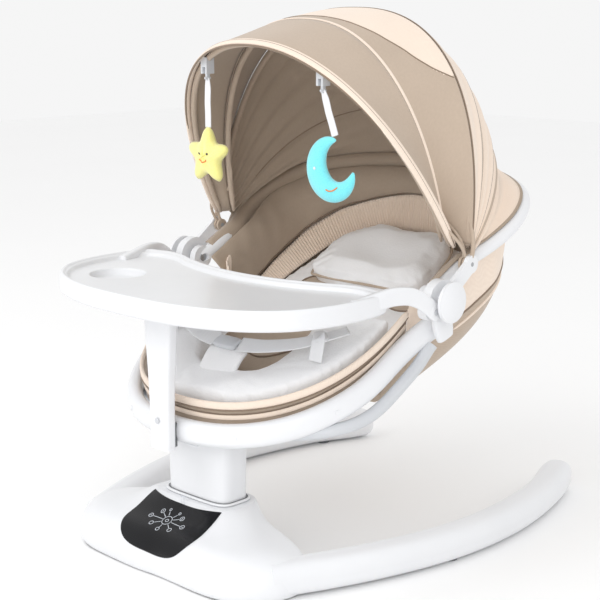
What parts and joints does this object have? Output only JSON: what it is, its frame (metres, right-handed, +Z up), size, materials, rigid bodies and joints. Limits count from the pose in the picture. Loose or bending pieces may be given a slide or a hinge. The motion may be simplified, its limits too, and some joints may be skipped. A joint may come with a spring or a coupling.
{
  "type": "baby swing",
  "caption": "Free-standing baby swing: horseshoe base with a drive column, reclining padded seat in a ring frame, flip-up tray and folding canopy with hanging toys.",
  "frame": {"origin": "floor level, centre of the whole swing's plan box", "axes": "+Z up, the baby faces -Y, the baby's left is +X"},
  "size_m": [0.5608, 0.7017, 0.7266],
  "materials": {
    "white_plastic": "smooth white moulded plastic",
    "grey_plastic": "light grey moulded plastic",
    "rubber_feet": "matt",
    "steel": "plated",
    "panel_black": "glossy black",
    "board_green": "circuit board",
    "copper_coil": "enamelled winding",
    "bush_plastic": "low-friction plastic",
    "taupe_fabric": "fine woven mesh",
    "peach_fabric": "thin gathered cloth",
    "white_plush": "short soft pile",
    "white_webbing": "flat woven ribbon",
    "yellow_toy": "soft plush",
    "turquoise_toy": "soft plush"
  },
  "bodies": {
    "base": {"base_housing": "white_plastic", "base_cover": "grey_plastic", "leg_left": "white_plastic", "leg_right": "white_plastic", "feet": "rubber_feet", "cover_screws": "steel", "touch_panel": "panel_black", "control_board": "board_green", "speaker": "panel_black", "power_inlet": "panel_black", "coil_stand": "grey_plastic", "drive_coil": "copper_coil", "column": "white_plastic", "bearing_carrier": "grey_plastic", "lower_bush": "bush_plastic", "upper_bush": "bush_plastic"},
    "seat": {"swing_shaft": "steel", "magnet_lever": "steel", "drive_magnet": "steel", "swing_head": "white_plastic", "seat_ring": "white_plastic", "ring_screws": "steel", "cradle_tube_left": "grey_plastic", "cradle_tube_right": "grey_plastic", "hinge_housing_left": "white_plastic", "hinge_housing_right": "white_plastic", "hinge_pins": "steel", "tray_pins": "steel", "canopy_pins": "steel", "button_springs": "steel", "seat_sling": "taupe_fabric", "seat_pad": "white_plush", "crotch_strap": "white_plush", "buckle": "white_plastic", "waist_strap_left": "white_webbing", "waist_strap_right": "white_webbing", "rear_bow": "steel", "canopy_back_drape": "peach_fabric"},
    "backrest": {"backrest_tube": "white_plastic", "backrest_pod": "taupe_fabric", "back_pad": "white_plush", "head_pillow": "white_plush", "rim_lining": "taupe_fabric", "ribbed_band": "peach_fabric"},
    "button_left": {"recline_button_left": "white_plastic"},
    "button_right": {"recline_button_right": "white_plastic"},
    "mid_bow": {"mid_bow": "steel", "canopy_top_panel": "taupe_fabric"},
    "front_bow": {"front_bow": "steel", "canopy_front_panel": "taupe_fabric", "toy_clips": "white_plastic"},
    "star_link": {"star_hanger": "white_plastic"},
    "star": {"star_ribbon": "white_webbing", "star_toy": "yellow_toy"},
    "moon_link": {"moon_hanger": "white_plastic"},
    "moon": {"moon_ribbon": "white_webbing", "moon_toy": "turquoise_toy"},
    "tray": {"tray": "white_plastic", "tray_post": "white_plastic", "post_pad": "grey_plastic"}
  },
  "joints": [
    {"name": "seat_swing", "type": "hinge", "parent": "base", "child": "seat", "pos_m": [0, -0.1995, 0.162], "axis": [0, 0.1736, 0.9848], "range_deg": [-12, 12]},
    {"name": "backrest_recline", "type": "hinge", "parent": "seat", "child": "backrest", "pos_m": [0, -0.0155, 0.357], "axis": [-1, 0, 0], "range_deg": [0, 16]},
    {"name": "recline_button_left", "type": "slide", "parent": "seat", "child": "button_left", "axis": [-1, 0, 0], "range_m": [0, 0.003], "stiffness_N_per_m": 400, "springref_m": -0.002},
    {"name": "recline_button_right", "type": "slide", "parent": "seat", "child": "button_right", "axis": [1, 0, 0], "range_m": [0, 0.003], "stiffness_N_per_m": 400, "springref_m": -0.002},
    {"name": "canopy_fold", "type": "hinge", "parent": "seat", "child": "mid_bow", "pos_m": [0, 0.0405, 0.398], "axis": [-1, 0, 0], "range_deg": [0, 13], "deforming": ["canopy_top_panel", "canopy_front_panel"]},
    {"name": "front_bow_fold", "type": "hinge", "parent": "mid_bow", "child": "front_bow", "pos_m": [0, 0.0405, 0.398], "axis": [-1, 0, 0], "range_deg": [0, 13]},
    {"name": "star_link_turn", "type": "hinge", "parent": "front_bow", "child": "star_link", "pos_m": [-0.1, -0.10646, 0.64374], "axis": [-1, 0, 0], "range_deg": [-26, 0]},
    {"name": "moon_link_turn", "type": "hinge", "parent": "front_bow", "child": "moon_link", "pos_m": [0.113, -0.10204, 0.63594], "axis": [-1, 0, 0], "range_deg": [-26, 0]},
    {"name": "star_sway", "type": "hinge", "parent": "star_link", "child": "star", "pos_m": [-0.1, -0.10646, 0.63274], "axis": [0, 1, 0], "range_deg": [-20, 20]},
    {"name": "moon_sway", "type": "hinge", "parent": "moon_link", "child": "moon", "pos_m": [0.113, -0.10204, 0.62494], "axis": [0, 1, 0], "range_deg": [-20, 20]},
    {"name": "tray_flip", "type": "hinge", "parent": "seat", "child": "tray", "pos_m": [0, -0.0395, 0.347], "axis": [-1, 0, 0], "range_deg": [0, 50]}
  ],
  "couplings": [
    {"joint": "front_bow_fold", "follows": "canopy_fold", "ratio": 1},
    {"joint": "star_link_turn", "follows": "canopy_fold", "ratio": -2},
    {"joint": "moon_link_turn", "follows": "canopy_fold", "ratio": -2}
  ]
}
